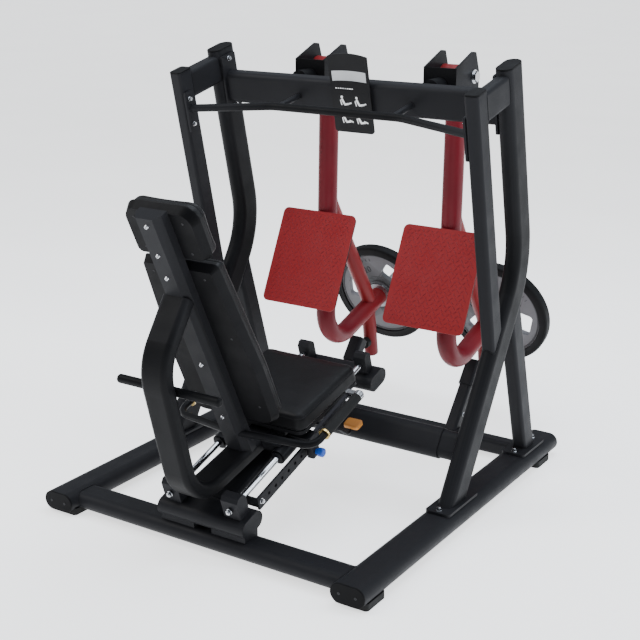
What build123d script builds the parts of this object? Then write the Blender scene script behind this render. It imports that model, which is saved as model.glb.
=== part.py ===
"""Plate-loaded seated leg press with two independent arms.

Millimetres. +Y is the way the user faces, +X is the user's right, +Z is up.
Every length along Y below is measured from the rear ends of the floor runners;
the finished parts are then moved so that the origin is on the floor, under the
middle of the machine.
"""
from build123d import *
from math import atan2, cos, radians, sin
import os

# ---------------------------------------------------------------- driving dimensions
MIDDLE = 876.0             # distance from the runners' rear ends to the origin

# Floor frame
RUNNER_X = 594.0           # centre line of each floor runner
RUNNER_LENGTH = 1450.0
RUNNER_WIDTH = 124.0
RUNNER_HEIGHT = 68.0
FOOT_THICKNESS = 12.0
CAP_THICKNESS = 6.0
WALL = 3.5                 # wall of the large tubes
REAR_CROSS_Y = 95.0
FRONT_CROSS_Y = 1303.0

# Uprights: flat-oval tube, long side fore and aft
UPRIGHT_DEPTH = 120.0
UPRIGHT_WIDTH = 60.0
REAR_UPRIGHT = (74.0, 50.0, 12.0)  # fore and aft, across, corner radius
FRONT_LEG = (80.0, 54.0, 14.0)
BASE_PLATE = 10.0
UPRIGHT_FOOT = (679.0, 90.0)
UPRIGHT_BEND = (1147.0, 823.0)
UPRIGHT_TOP = (984.0, 1528.0)
UPRIGHT_BEND_RADIUS = 320.0
REAR_UPRIGHT_TOP = (746.0, 1463.0)
REAR_UPRIGHT_FOOT = (953.0, 546.0)
FRONT_LEG_TOP = (1090.0, 645.0)
FRONT_LEG_FOOT = (1262.0, 90.0)

# Top beam and hand bar
BEAM_Y = 1010.0
BEAM_Z = 1388.0
BEAM_HEIGHT = 118.0
BEAM_DEPTH = 60.0
BAR_DIAMETER = 28.0
BAR_END = (757.0, 1327.0)
BAR_MIDDLE = (853.0, 1348.0)
BAR_BEND_X = 264.0
STRUT_X = 235.0

# Press arms
ARM_X = 273.0
PIVOT = (1251.0, 1453.0)
PIN_RADIUS = 15.0
PIN_CLEARANCE = 0.05
ARM_TUBE = 76.0
ARM_FOOT_Y = 1222.0            # where the drop tube and the horn line would meet
ARM_BEND_RADIUS = 121.0
HORN_TILT = 17.8               # the horn points this far above level
HORN_FACE = (1655.0, 451.0)    # centre of the flange face that the plates rest on
HORN_LENGTH = 270.0
HORN_RADIUS = 24.0
HORN_SEAT = (25.0, 48.0)       # radius and length of the larger stretch under the first plate
BRACE_TOP = (1233.0, 958.0)
BRACE_FOOT = (1560.0, 453.0)
STUB_TOP = (1556.0, 423.0)
STUB_FOOT = (1592.0, 198.0)
STUB_DIAMETER = 58.0
PLATE_TILT = 25.5
PLATE_WIDTH = 333.0
PLATE_HEIGHT = 381.0
PLATE_FOOT = (1020.0, 558.0)   # bottom edge of the tread face

# Weight plates
WEIGHT_RADIUS = 225.0
WEIGHT_THICKNESS = 44.0
WEIGHT_GAP = 0.4

# Seat rails: two rods that climb forwards
RAIL_SLOPE = 18.0
RAIL_START = (48.0, 181.0)     # rear end of the rods' centre line
RAIL_X = 122.0
ROD_RADIUS = 11.0
RAIL_LENGTH = 887.0
SUPPORT_HALF_WIDTH = 171.0

# Seat and backrest
BACK_LEAN = 25.4               # from upright
SPINE_OFFSET = 347.0           # from the row's rear floor line to the spine's rear face
SEAT_SLOPE = 13.0
SEAT_FRONT = (712.0, 504.0)    # top front edge of the cushion
SEAT_LENGTH = 384.0
SEAT_WIDTH = 400.0
SEAT_THICKNESS = 62.0
CLEAR = 0.3                    # gap between bodies that lie against each other

os.makedirs("parts", exist_ok=True)
SIDES = {"left": -1, "right": 1}


# ---------------------------------------------------------------- helpers
def save(name, *solids):
    """Write one node, moved so that the origin is under the middle of the machine."""
    moved = [Pos(0, -MIDDLE, 0) * solid for solid in solids]
    pieces = [piece for shape in moved for piece in shape.solids()]
    whole = pieces[0] if len(pieces) == 1 else Compound(children=pieces)
    export_step(whole, f"parts/{name}.step")


def flat_oval(long_side, short_side, wall=None):
    """Flat-oval section, long side along the first axis, hollow when it has a wall."""
    section = SlotOverall(long_side, short_side)
    if wall:
        section -= SlotOverall(long_side - 2 * wall, short_side - 2 * wall)
    return section


def rounded(width, height, radius, wall=None):
    """Rectangular section with rounded corners, hollow when it has a wall."""
    section = RectangleRounded(width, height, radius)
    if wall:
        section -= RectangleRounded(width - 2 * wall, height - 2 * wall, radius - wall)
    return section


def ring(outer, inner):
    """Flat ring between two radii."""
    return Circle(outer) - Circle(inner)


def member(section, start, end, first_axis):
    """Straight member: a section drawn square to the run from start to end."""
    run = Vector(*end) - Vector(*start)
    return extrude(Plane(origin=start, x_dir=first_axis, z_dir=run) * section, run.length)


def in_plane(x, start, end):
    """Start, end and the section axis for a member that lies in the plane of constant x."""
    rise = (0, end[1] - start[1], start[0] - end[0])
    return (x, *start), (x, *end), rise


def bent(section, points, radius, first_axis):
    """Tube bent round the inner points with one bend radius."""
    path = FilletPolyline(*points, radius=radius)
    start = Plane(origin=points[0], x_dir=first_axis, z_dir=Vector(*points[1]) - Vector(*points[0]))
    return sweep(start * section, path=path)


def cylinder_along(start, direction, radius, length, bore=0):
    """Round bar, or a bush when it has a bore, from a start point along a direction."""
    section = ring(radius, bore) if bore else Circle(radius)
    return extrude(Plane(origin=start, z_dir=direction) * section, length)


def hex_bolt(seat, direction, size):
    """Flat washer, hexagon nut and rounded stud end, standing on a face."""
    plane = Plane(origin=seat, z_dir=direction)
    washer = extrude(plane * Circle(size * 1.05), size * 0.2)
    nut = extrude(plane.offset(size * 0.2) * RegularPolygon(size * 0.9, 6), size * 0.8)
    stud = extrude(plane.offset(size) * Circle(size * 0.5), size * 0.35)
    return washer + nut + stud


def button_screw(seat, direction, radius):
    """Dome-headed screw with a hexagon socket, standing on a face."""
    plane = Plane(origin=seat, z_dir=direction)
    head = extrude(plane * Circle(radius), radius * 0.6, taper=24)
    return head - extrude(plane.offset(radius * 0.3) * RegularPolygon(radius * 0.42, 6), radius)


# ---------------------------------------------------------------- floor frame
RUNNER_Z = FOOT_THICKNESS + RUNNER_HEIGHT / 2
RUNNER_TOP = FOOT_THICKNESS + RUNNER_HEIGHT


def runner_block(side, wall=None):
    """Floor runner, a flat-oval tube between its two end caps."""
    x = side * RUNNER_X
    section = flat_oval(RUNNER_WIDTH, RUNNER_HEIGHT, wall)
    rear = (x, CAP_THICKNESS, RUNNER_Z)
    front = (x, RUNNER_LENGTH - CAP_THICKNESS, RUNNER_Z)
    return member(section, rear, front, (1, 0, 0))


runner_outline = {side: runner_block(side) for side in SIDES.values()}
for name, side in SIDES.items():
    save(f"{name}_runner", runner_block(side, WALL))

caps = []
for side in SIDES.values():
    for y in (0, RUNNER_LENGTH - CAP_THICKNESS):
        cap = member(
            flat_oval(RUNNER_WIDTH, RUNNER_HEIGHT),
            (side * RUNNER_X, y, RUNNER_Z),
            (side * RUNNER_X, y + CAP_THICKNESS, RUNNER_Z),
            (1, 0, 0),
        )
        outer_face = cap.faces().sort_by(Axis.Y)[0 if y == 0 else -1]
        caps.append(chamfer(outer_face.edges(), 1.5))

CROSS_DEPTH = 112.0
CROSS_HEIGHT = 60.0
CROSS_Z = 44.0


def between_runners(section, y, z):
    """Cross tube whose ends are coped to the inner sides of both runners."""
    tube = member(section, (-RUNNER_X, y, z), (RUNNER_X, y, z), (0, 1, 0))
    for outline in runner_outline.values():
        tube -= outline
    return tube.solids().sort_by(SortBy.VOLUME)[-1]


save("rear_cross_tube", between_runners(flat_oval(CROSS_DEPTH, CROSS_HEIGHT, WALL), REAR_CROSS_Y, CROSS_Z))
save("front_cross_tube", between_runners(rounded(64, CROSS_HEIGHT, 16, WALL), FRONT_CROSS_Y, CROSS_Z))

FOOT_LENGTH = 110.0
FOOT_WIDTH = 120.0
FOOT_HEIGHT = 24.0
rear_cross = flat_oval(CROSS_DEPTH, CROSS_HEIGHT)
front_cross = rounded(64, CROSS_HEIGHT, 16)
cross_outlines = [
    between_runners(rear_cross, REAR_CROSS_Y, CROSS_Z),
    between_runners(front_cross, FRONT_CROSS_Y, CROSS_Z),
]
feet = []
for side in SIDES.values():
    for y in (75, RUNNER_LENGTH - 122):
        foot_outline = Pos(side * RUNNER_X, y, 0) * RectangleRounded(FOOT_WIDTH, FOOT_LENGTH, 12)
        foot = extrude(foot_outline, FOOT_HEIGHT)
        foot = foot - runner_outline[side] - cross_outlines[0] - cross_outlines[1]
        feet.append(foot.solids().sort_by(SortBy.VOLUME)[-1])
save("runner_feet", *feet)

# ---------------------------------------------------------------- uprights and legs
floor_plane = Plane.XY.offset(RUNNER_TOP + BASE_PLATE)


def run_angle(start, end):
    """Unit vector along a member in the YZ plane, as (y, z)."""
    angle = atan2(end[1] - start[1], end[0] - start[0])
    return cos(angle), sin(angle)


def main_upright(side, wall=None):
    """Bent main upright: a raked leg below, leaning back over the user above."""
    x = side * RUNNER_X
    y_run, z_run = run_angle(UPRIGHT_FOOT, UPRIGHT_BEND)
    start = (x, UPRIGHT_FOOT[0] - 60 * y_run, UPRIGHT_FOOT[1] - 60 * z_run)
    points = [start, (x, *UPRIGHT_BEND), (x, *UPRIGHT_TOP)]
    section = flat_oval(UPRIGHT_DEPTH, UPRIGHT_WIDTH, wall)
    tube = bent(section, points, UPRIGHT_BEND_RADIUS, (0, z_run, -y_run))
    return split(tube, bisect_by=floor_plane, keep=Keep.TOP)


def rear_upright(side, outline):
    """Rear upright, coped onto the rear face of the main upright's leg."""
    x = side * RUNNER_X
    y_run, z_run = run_angle(REAR_UPRIGHT_TOP, REAR_UPRIGHT_FOOT)
    low = (REAR_UPRIGHT_FOOT[0] + 40 * y_run, REAR_UPRIGHT_FOOT[1] + 40 * z_run)
    tube = member(rounded(*REAR_UPRIGHT, WALL), *in_plane(x, REAR_UPRIGHT_TOP, low))
    return (tube - outline).solids().sort_by(Axis.Z)[-1]


def front_leg(side, outline):
    """Front leg from the front face of the main upright down to its base plate."""
    x = side * RUNNER_X
    y_run, z_run = run_angle(FRONT_LEG_TOP, FRONT_LEG_FOOT)
    low = (FRONT_LEG_FOOT[0] + 40 * y_run, FRONT_LEG_FOOT[1] + 40 * z_run)
    high = (FRONT_LEG_TOP[0] - 60 * y_run, FRONT_LEG_TOP[1] - 60 * z_run)
    tube = member(rounded(*FRONT_LEG, WALL), *in_plane(x, high, low))
    tube = split(tube, bisect_by=floor_plane, keep=Keep.TOP)
    return (tube - outline).solids().sort_by(SortBy.VOLUME)[-1]


def top_cap(x, top, foot, section):
    """Flat cap closing the upper end of an upright."""
    y_run, z_run = run_angle(foot, top)
    high = (top[0] + CAP_THICKNESS * y_run, top[1] + CAP_THICKNESS * z_run)
    cap = member(section, *in_plane(x, top, high))
    upper = cap.faces().sort_by(Axis.Z)[-1]
    return chamfer(upper.edges(), 1.5)


front_legs = []
for name, side in SIDES.items():
    outline = main_upright(side)
    x = side * RUNNER_X
    save(f"{name}_main_upright", main_upright(side, WALL))
    save(f"{name}_rear_upright", rear_upright(side, outline))
    front_legs.append(front_leg(side, outline))
    caps.append(top_cap(x, UPRIGHT_TOP, UPRIGHT_BEND, flat_oval(UPRIGHT_DEPTH, UPRIGHT_WIDTH)))
    caps.append(top_cap(x, REAR_UPRIGHT_TOP, REAR_UPRIGHT_FOOT, rounded(*REAR_UPRIGHT)))
save("front_legs", *front_legs)
save("tube_end_caps", *caps)

BASE_PLATE_WIDTH = 92.0
BASE_PLATES = {UPRIGHT_FOOT[0]: 224.0, FRONT_LEG_FOOT[0]: 196.0}
frame_bolts = []
base_plates = []
for side in SIDES.values():
    for y, length in BASE_PLATES.items():
        outline = Pos(side * RUNNER_X, y, RUNNER_TOP) * RectangleRounded(BASE_PLATE_WIDTH, length, 14)
        base_plates.append(extrude(outline, BASE_PLATE))
        for end in (-1, 1):
            seat = (side * RUNNER_X, y + end * (length / 2 - 18), RUNNER_TOP + BASE_PLATE)
            frame_bolts.append(hex_bolt(seat, (0, 0, 1), 11))
save("leg_base_plates", *base_plates)

# ---------------------------------------------------------------- top ties, beam, hand bar
TIE_HEIGHT = 104.0
TIE_WIDTH = 48.0
TIE_LEVEL = 1408.0
upright_lean = run_angle(REAR_UPRIGHT_FOOT, REAR_UPRIGHT_TOP)
rear_share = (TIE_LEVEL - REAR_UPRIGHT_FOOT[1]) / (REAR_UPRIGHT_TOP[1] - REAR_UPRIGHT_FOOT[1])
tie_start = (REAR_UPRIGHT_FOOT[0] + rear_share * (REAR_UPRIGHT_TOP[0] - REAR_UPRIGHT_FOOT[0]), TIE_LEVEL)
tie_end = (tie_start[0] + 300 * upright_lean[1], tie_start[1] - 300 * upright_lean[0])
ties = []
for side in SIDES.values():
    x = side * RUNNER_X
    tie = member(rounded(TIE_HEIGHT, TIE_WIDTH, 15, WALL), *in_plane(x, tie_start, tie_end))
    rear_block = member(rounded(*REAR_UPRIGHT), *in_plane(x, REAR_UPRIGHT_FOOT, REAR_UPRIGHT_TOP))
    tie = tie - rear_block - main_upright(side)
    middle_y = (tie_start[0] + UPRIGHT_TOP[0]) / 2
    ties.append(min(tie.solids(), key=lambda piece: abs(piece.center().Y - middle_y)))
save("top_ties", *ties)

FLANGE = 8.0
INNER_FACE = RUNNER_X - UPRIGHT_WIDTH / 2
beam_half = INNER_FACE - FLANGE
across_lean = (0, upright_lean[1], -upright_lean[0])


def top_beam(half, wall=None):
    """Top beam, leaning with the uprights, out to a half length either side."""
    section = rounded(BEAM_DEPTH, BEAM_HEIGHT, 20, wall)
    return member(section, (-half, BEAM_Y, BEAM_Z), (half, BEAM_Y, BEAM_Z), across_lean)


beam_outline = top_beam(beam_half)


def leaning_plate(x, centre, width, height, thickness):
    """Flange plate in the plane of constant x, leaning with the uprights."""
    plane = Plane(origin=(x - thickness / 2, *centre), x_dir=across_lean, z_dir=(1, 0, 0))
    return extrude(plane * RectangleRounded(width, height, 8), thickness)


def along_lean(centre, distance):
    """Point at a distance up the leaning direction from a centre."""
    return centre[0] + distance * upright_lean[0], centre[1] + distance * upright_lean[1]


BEAM_FLANGE_CENTRE = (1006.0, 1406.0)
BAR_FLANGE_CENTRE = (764.0, 1318.0)
flanges = []
for side in SIDES.values():
    x = side * (INNER_FACE - FLANGE / 2)
    flanges.append(leaning_plate(x, BEAM_FLANGE_CENTRE, 84, 206, FLANGE))
    for rise in (88, -92):
        seat = (side * (INNER_FACE - FLANGE), *along_lean(BEAM_FLANGE_CENTRE, rise))
        frame_bolts.append(hex_bolt(seat, (-side, 0, 0), 9))
    bar_face = RUNNER_X - REAR_UPRIGHT[1] / 2
    flanges.append(leaning_plate(side * (bar_face - FLANGE / 2), BAR_FLANGE_CENTRE, 44, 150, FLANGE))
    for rise in (48, -48):
        seat = (side * (bar_face - FLANGE), *along_lean(BAR_FLANGE_CENTRE, rise))
        frame_bolts.append(hex_bolt(seat, (-side, 0, 0), 8))
save("beam_flanges", *flanges)

bar_end_x = RUNNER_X - REAR_UPRIGHT[1] / 2 - FLANGE
bar_points = [
    (-RUNNER_X, *BAR_END),
    (-BAR_BEND_X, *BAR_MIDDLE),
    (BAR_BEND_X, *BAR_MIDDLE),
    (RUNNER_X, *BAR_END),
]
bar_span = Pos(0, *BAR_MIDDLE) * Box(2 * bar_end_x, 400, 300)
bar_run = Vector(*bar_points[1]) - Vector(*bar_points[0])
bar_outline = bent(Circle(BAR_DIAMETER / 2), bar_points, 150, bar_run.cross(Vector(0, 0, 1)))
bar_hollow = bent(Circle(BAR_DIAMETER / 2 - 3), bar_points, 150, bar_run.cross(Vector(0, 0, 1)))
bar = (bar_outline - bar_hollow) & bar_span
middle_span = Pos(0, *BAR_MIDDLE) * Box(2 * BAR_BEND_X, 400, 300)
bar_lengths = [*(bar & middle_span).solids(), *(bar - middle_span).solids()]
struts = []
for side in SIDES.values():
    low = (side * STRUT_X, BAR_MIDDLE[0], BAR_MIDDLE[1])
    high = (side * STRUT_X, BEAM_Y, BAR_MIDDLE[1] + 30)
    strut = member(Circle(11), low, high, (1, 0, 0)) - bar_outline - beam_outline
    struts.append(strut.solids().sort_by(SortBy.VOLUME)[-1])
save("hand_bar", *bar_lengths, *struts)

# ---------------------------------------------------------------- placard
PLACARD_TILT = 13.0
PLACARD_WIDTH = 162.0
PLACARD_HEIGHT = 292.0
PLACARD_THICKNESS = 5.0
placard_normal = (0, -cos(radians(PLACARD_TILT)), -sin(radians(PLACARD_TILT)))
placard_plane = Plane(origin=(0, 967, 1400), x_dir=(1, 0, 0), z_dir=placard_normal)
top_arc = Pos(0, -158) * Circle(304)
placard_outline = RectangleRounded(PLACARD_WIDTH, PLACARD_HEIGHT, 12) & top_arc
save("placard_board", extrude(placard_plane * placard_outline, PLACARD_THICKNESS))
placard_stand = extrude(placard_plane * Pos(0, -8) * Rectangle(90, 70), -40) - beam_outline
save("top_beam", top_beam(beam_half, WALL), placard_stand.solids().sort_by(Axis.Y)[0])

# ---------------------------------------------------------------- pivot brackets and pins
CHEEK = 8.0
HUB_LENGTH = 112.0
CHEEK_GAP = HUB_LENGTH + 2
WEB_Y = 1113.0
CHEEK_OUTLINE = [(WEB_Y, 1386), (WEB_Y, 1492), (1238, 1541), (1264, 1538), (1294, 1462), (1290, 1392)]
STUB_RADIUS = 34.0


def cheek_face(x):
    """Profile of a bracket cheek in the plane of constant x."""
    plane = Plane(origin=(x, 0, 0), x_dir=(0, 1, 0), z_dir=(1, 0, 0))
    outline = make_face(Polyline(*CHEEK_OUTLINE, close=True))
    return plane * fillet(outline.vertices().sort_by(Axis.X)[-4:], 9)


brackets = []
pins = []
for side in SIDES.values():
    x = side * ARM_X
    cheek_low = x - CHEEK_GAP / 2 - CHEEK
    cheek_high = x + CHEEK_GAP / 2
    bracket = extrude(cheek_face(cheek_low), CHEEK) + extrude(cheek_face(cheek_high), CHEEK)
    web = Pos(x, WEB_Y + CHEEK / 2, 1439) * Box(CHEEK_GAP + 2 * CHEEK, CHEEK, 106)
    web_edges = web.edges().filter_by(Axis.Z).sort_by(Axis.Y)[:2]
    bracket += fillet(web_edges, 7)
    beam_face = BEAM_Y + BEAM_DEPTH / 2
    stub = cylinder_along((x, beam_face, 1425), (0, 1, 0), STUB_RADIUS, WEB_Y - beam_face)
    bracket += stub
    bore = cylinder_along((x - 100, *PIVOT), (1, 0, 0), PIN_RADIUS, 200)
    brackets.append(bracket - bore)
    pin_half = CHEEK_GAP / 2 + CHEEK
    pin = cylinder_along((x - pin_half, *PIVOT), (1, 0, 0), PIN_RADIUS, 2 * pin_half)
    for face in (-1, 1):
        seat = (x + face * pin_half, *PIVOT)
        head = cylinder_along(seat, (face, 0, 0), 25, 4)
        head_plane = Plane(origin=(x + face * (pin_half + 4), *PIVOT), z_dir=(face, 0, 0))
        head += extrude(head_plane * RegularPolygon(20, 6), 11)
        pin += head
    pins.append(pin)
save("pivot_brackets", *brackets)
save("pivot_pins", *pins)

# ---------------------------------------------------------------- low front beam
leg_y, leg_z = run_angle(UPRIGHT_FOOT, UPRIGHT_BEND)
LOW_BEAM = (778.0, 244.0)
low_axis = (0, leg_y, leg_z)
SLEEVE_HALF = 500.0
LOW_SECTION = (110.0, 64.0)
low_tube = flat_oval(*LOW_SECTION, WALL)
low_beam = member(low_tube, (-SLEEVE_HALF, *LOW_BEAM), (SLEEVE_HALF, *LOW_BEAM), low_axis)
low_parts = [low_beam]
for side in SIDES.values():
    inner_end = (side * SLEEVE_HALF, *LOW_BEAM)
    outer_end = (side * RUNNER_X, *LOW_BEAM)
    stub = member(flat_oval(102, 56, WALL), inner_end, outer_end, low_axis)
    stub = stub - main_upright(side)
    low_parts.append(min(stub.solids(), key=lambda piece: abs(piece.center().X)))
save("low_beam", *low_parts)

# ---------------------------------------------------------------- rails for the seat
slope_y, slope_z = cos(radians(RAIL_SLOPE)), sin(radians(RAIL_SLOPE))
along_rail = (0, slope_y, slope_z)
above_rail = (0, -slope_z, slope_y)


def on_rail(x, along, above):
    """Point given by its distance along the rods and its height above their centre line."""
    y = RAIL_START[0] + along * slope_y - above * slope_z
    z = RAIL_START[1] + along * slope_z + above * slope_y
    return x, y, z


def rail_box(x, along, above, width, length, height, radius=0):
    """Block lined up with the rods: centre, width across, length along, height above."""
    plane = Plane(origin=on_rail(x, along, above - height / 2), x_dir=(1, 0, 0), z_dir=above_rail)
    section = RectangleRounded(width, length, radius) if radius else Rectangle(width, length)
    return extrude(plane * section, height)


BLOCK_HEIGHT = 80.0
REAR_STATION = 30.0
FRONT_STATION = RAIL_LENGTH - 30.0
BLOCKS = {REAR_STATION: (66.0, 50.0), FRONT_STATION: (48.0, 40.0)}  # width across, length along
SUPPORT_DROP = 66.0
supports = []
for station in (REAR_STATION, FRONT_STATION):
    start = on_rail(-SUPPORT_HALF_WIDTH, station, -SUPPORT_DROP)
    end = on_rail(SUPPORT_HALF_WIDTH, station, -SUPPORT_DROP)
    supports.append(member(flat_oval(112, 60, WALL), start, end, along_rail))
    for side in SIDES.values():
        plug = on_rail(side * SUPPORT_HALF_WIDTH, station, -SUPPORT_DROP)
        plug_end = on_rail(side * (SUPPORT_HALF_WIDTH + 5), station, -SUPPORT_DROP)
        supports.append(member(flat_oval(112, 60), plug, plug_end, along_rail))

rear_outline = member(
    flat_oval(112, 60),
    on_rail(-SUPPORT_HALF_WIDTH, REAR_STATION, -SUPPORT_DROP),
    on_rail(SUPPORT_HALF_WIDTH, REAR_STATION, -SUPPORT_DROP),
    along_rail,
)
front_outline = member(
    flat_oval(112, 60),
    on_rail(-SUPPORT_HALF_WIDTH, FRONT_STATION, -SUPPORT_DROP),
    on_rail(SUPPORT_HALF_WIDTH, FRONT_STATION, -SUPPORT_DROP),
    along_rail,
)
CROSS_TOP = CROSS_Z + CROSS_HEIGHT / 2
for x in (-104, 104):
    spacer = Pos(x, REAR_CROSS_Y, CROSS_TOP + 25) * Box(136, 70, 50)
    spacer -= rear_outline
    supports.append(spacer.solids().sort_by(Axis.Z)[0])
low_outline = member(flat_oval(*LOW_SECTION), (-200, *LOW_BEAM), (200, *LOW_BEAM), low_axis)
post_top = on_rail(0, FRONT_STATION, -SUPPORT_DROP)
post_low = (0, LOW_BEAM[0] + 12, LOW_BEAM[1])
post_outline = member(rounded(110, 60, 14), post_low, post_top, (1, 0, 0))
post = member(rounded(110, 60, 14, WALL), post_low, post_top, (1, 0, 0)) - low_outline - front_outline
supports.append(post.solids().sort_by(SortBy.VOLUME)[-1])
save("rail_supports", *supports)

blocks = []
rods = []
for side in SIDES.values():
    x = side * RAIL_X
    rod_start = on_rail(x, 8, 0)
    rods.append(cylinder_along(rod_start, along_rail, ROD_RADIUS, RAIL_LENGTH - 16))
    for station, (width, length) in BLOCKS.items():
        base = -SUPPORT_DROP + 30
        block = rail_box(x, station, base + BLOCK_HEIGHT / 2, width, length, BLOCK_HEIGHT)
        block = chamfer(block.faces().sort_by(Axis((0, 0, 0), above_rail))[-1].edges().filter_by(Axis.X), 12)
        blocks.append(block - cylinder_along(rod_start, along_rail, ROD_RADIUS, RAIL_LENGTH - 16))
    frame_bolts.append(hex_bolt(on_rail(x, 0, 0), tuple(-value for value in along_rail), 10))
    frame_bolts.append(hex_bolt(on_rail(x, RAIL_LENGTH, 0), along_rail, 10))
save("rail_blocks", *blocks)
save("guide_rods", *rods)

centre_beam = member(
    rounded(120, 50, 10, WALL),
    on_rail(0, REAR_STATION, -SUPPORT_DROP),
    on_rail(0, FRONT_STATION, -SUPPORT_DROP),
    (1, 0, 0),
)
centre_beam = centre_beam - rear_outline - front_outline - post_outline
save("rail_centre_beam", centre_beam.solids().sort_by(SortBy.VOLUME)[-1])

STRIP_X = 158.0
STRIP_DROP = -40.0
STRIP_START = 96.0
STRIP_END = 640.0
STRIP_HEIGHT = 46.0
STRIP_THICKNESS = 8.0
HOLE_RADIUS = 6.5
HOLE_PITCH = 40.0
strip = rail_box(
    STRIP_X, (STRIP_START + STRIP_END) / 2, STRIP_DROP, STRIP_THICKNESS, STRIP_END - STRIP_START, STRIP_HEIGHT
)
hole = STRIP_START + 62
while hole < STRIP_END - 40:
    strip -= cylinder_along(on_rail(STRIP_X - 10, hole, STRIP_DROP), (1, 0, 0), HOLE_RADIUS, 20)
    hole += HOLE_PITCH
strip_tabs = []
for along in (STRIP_START + 18, STRIP_END - 18):
    tab_width = STRIP_X - STRIP_THICKNESS / 2 - 60
    strip_tabs.append(rail_box(60 + tab_width / 2, along, STRIP_DROP - 13, tab_width, 30, 10))
save("index_strip", strip, *strip_tabs)
strip_bolt = on_rail(STRIP_X + STRIP_THICKNESS / 2, STRIP_START + 16, STRIP_DROP + 4)
frame_bolts.append(hex_bolt(strip_bolt, (1, 0, 0), 9))

# ---------------------------------------------------------------- stops for the arms
STOP_FOOT = (1306.0, CROSS_TOP)
POST_SECTION = (50.0, 50.0, 11.0)
SLEEVE_SECTION = (60.0, 60.0, 14.0)
STOP_LEAN = 39.0
STOP_LENGTH = 280.0
SLEEVE_START = 178.0
stop_y, stop_z = sin(radians(STOP_LEAN)), cos(radians(STOP_LEAN))


def up_post(x, distance, forward=0):
    """Point up a stop post's axis, and forward of it."""
    y = STOP_FOOT[0] + distance * stop_y + forward * stop_z
    z = STOP_FOOT[1] + distance * stop_z - forward * stop_y
    return x, y, z


stub_run = Vector(0, STUB_FOOT[0] - STUB_TOP[0], STUB_FOOT[1] - STUB_TOP[1]).normalized()
BUMPER_HEIGHT = 268.0
stub_share = (BUMPER_HEIGHT - STUB_FOOT[1]) / (STUB_TOP[1] - STUB_FOOT[1])
bumper_tip = Vector(0, STUB_FOOT[0] + stub_share * (STUB_TOP[0] - STUB_FOOT[0]), BUMPER_HEIGHT)
bumper_axis = Vector(0, -stub_run.Z, stub_run.Y)
bumper_tip = bumper_tip - bumper_axis * (STUB_DIAMETER / 2 + CLEAR)
posts = []
bumpers = []
for side in SIDES.values():
    x = side * ARM_X
    lean_axis = (0, stop_z, -stop_y)
    post = member(rounded(*POST_SECTION, WALL), up_post(x, -20), up_post(x, STOP_LENGTH), lean_axis)
    post = split(post, bisect_by=Plane.XY.offset(CROSS_TOP), keep=Keep.TOP)
    sleeve = member(rounded(*SLEEVE_SECTION), up_post(x, SLEEVE_START), up_post(x, STOP_LENGTH), lean_axis)
    sleeve -= member(rounded(*POST_SECTION), up_post(x, 0), up_post(x, STOP_LENGTH + 10), lean_axis)
    lid = member(rounded(*SLEEVE_SECTION), up_post(x, STOP_LENGTH), up_post(x, STOP_LENGTH + 5), lean_axis)
    posts += [post, sleeve, lid]
    tip = Vector(x, 0, 0) + bumper_tip
    rubber = cylinder_along(tip, (-bumper_axis), 22, 24)
    stem = cylinder_along((tip - bumper_axis * 24), (-bumper_axis), 12, 60)
    sleeve_low = up_post(x, SLEEVE_START)
    sleeve_block = member(rounded(*SLEEVE_SECTION), sleeve_low, up_post(x, STOP_LENGTH + 5), lean_axis)
    stem = (stem - sleeve_block).solids().sort_by(Axis.Y)[-1]
    bumpers += [rubber, stem]
    frame_bolts.append(hex_bolt((x + side * POST_SECTION[1] / 2, *up_post(x, 60)[1:]), (side, 0, 0), 8))
save("stop_posts", *posts)
save("stop_bumpers", *bumpers)
save("frame_bolts", *frame_bolts)

# ---------------------------------------------------------------- press arms
horn_y, horn_z = cos(radians(HORN_TILT)), sin(radians(HORN_TILT))
along_horn = (0, horn_y, horn_z)
FLANGE_RING = 12.0
TUBE_RADIUS = ARM_TUBE / 2
hub_radius = TUBE_RADIUS + 1


def along_horn_line(distance):
    """Point on the horn's centre line, measured from the face that plates rest on."""
    return HORN_FACE[0] + distance * horn_y, HORN_FACE[1] + distance * horn_z


def arm_tube(side, hollow=True):
    """Drop tube from the pivot hub, bent round below and up to the horn flange."""
    x = side * ARM_X
    foot = along_horn_line((ARM_FOOT_Y - HORN_FACE[0]) / horn_y)
    end = along_horn_line(-FLANGE_RING)
    section = ring(TUBE_RADIUS, TUBE_RADIUS - 4) if hollow else Circle(TUBE_RADIUS)
    points = [(x, *PIVOT), (x, *foot), (x, *end)]
    return bent(section, points, ARM_BEND_RADIUS, (1, 0, 0))


def arm_with_hub(side):
    """Arm tube welded to the hub that turns on the pivot pin."""
    x = side * ARM_X
    hub = cylinder_along((x - HUB_LENGTH / 2, *PIVOT), (1, 0, 0), hub_radius, HUB_LENGTH)
    bore_start = (x - HUB_LENGTH / 2 - 1, *PIVOT)
    bore = cylinder_along(bore_start, (1, 0, 0), PIN_RADIUS + PIN_CLEARANCE, HUB_LENGTH + 2)
    return arm_tube(side) + hub - bore


PLATE_THICKNESS = 8.0
TREAD_THICKNESS = 4.0
plate_up = (0, sin(radians(PLATE_TILT)), cos(radians(PLATE_TILT)))
plate_out = (0, -cos(radians(PLATE_TILT)), sin(radians(PLATE_TILT)))


def plate_plane(x, behind):
    """Plane of the foot plate, with the outline's centre as origin, some way behind the tread."""
    half = PLATE_HEIGHT / 2
    y = PLATE_FOOT[0] + half * plate_up[1] - behind * plate_out[1]
    z = PLATE_FOOT[1] + half * plate_up[2] - behind * plate_out[2]
    return Plane(origin=(x, y, z), x_dir=(1, 0, 0), z_dir=plate_out)


def foot_plate(x, behind, thickness, trim):
    """Rounded plate lying a distance behind the tread face."""
    outline = RectangleRounded(PLATE_WIDTH - trim, PLATE_HEIGHT - trim, 22)
    return extrude(plate_plane(x, behind) * outline, -thickness)


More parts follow.
